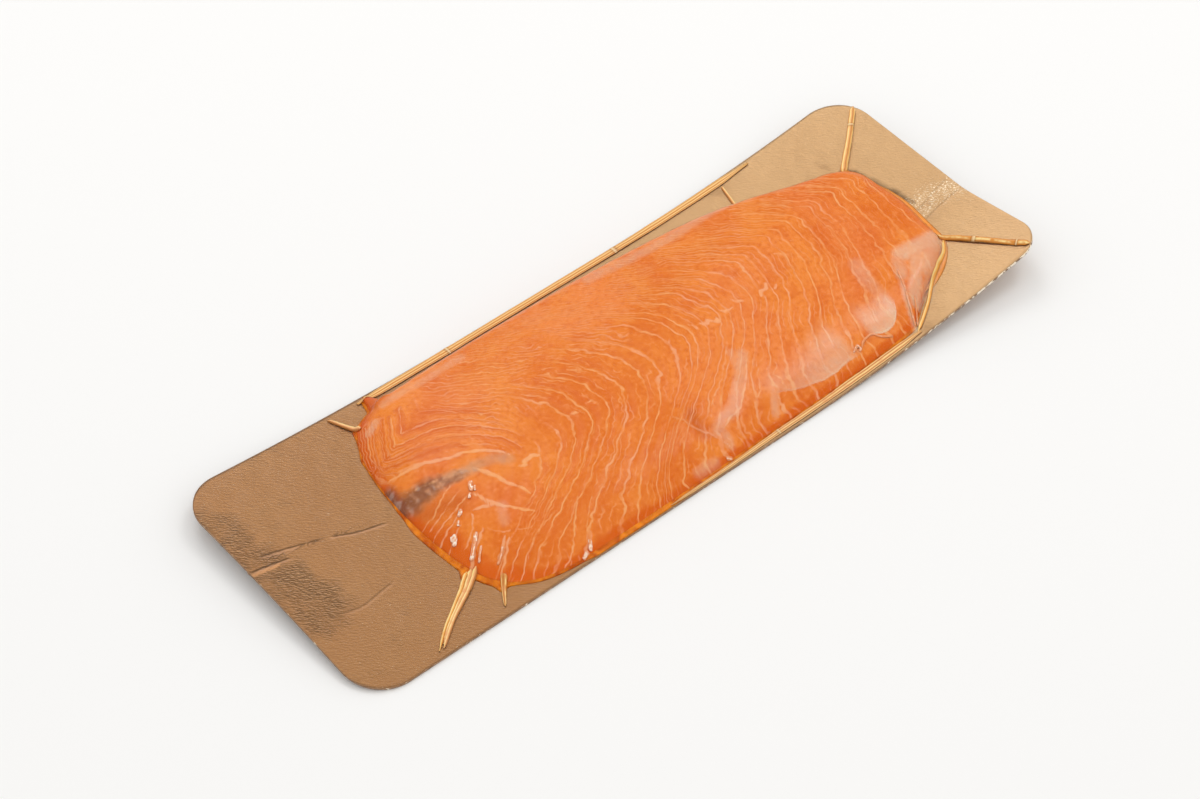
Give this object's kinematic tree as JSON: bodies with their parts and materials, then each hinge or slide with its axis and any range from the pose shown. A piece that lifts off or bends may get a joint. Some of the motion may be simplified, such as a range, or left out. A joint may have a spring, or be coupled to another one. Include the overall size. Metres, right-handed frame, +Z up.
{
  "type": "pack of smoked salmon",
  "caption": "Side of smoked salmon laid on a round-cornered gold card with curled ends, sealed under a clear skin film with gathered pleats.",
  "frame": {"origin": "middle of the card, on the surface that it rests on", "axes": "+X along the card towards the cut end of the fillet, +Y across the card towards its far long edge, +Z up"},
  "size_m": [0.37, 0.13, 0.0184],
  "materials": {
    "gold_card": "card laminated with satin gold foil, finely grained, metallic",
    "smoked_flesh": "moist orange flesh with pale lines of fat",
    "clear_film": "clear glossy skin film"
  },
  "bodies": {
    "root": {"board": "gold_card", "salmon": "smoked_flesh", "film": "clear_film"}
  },
  "joints": []
}
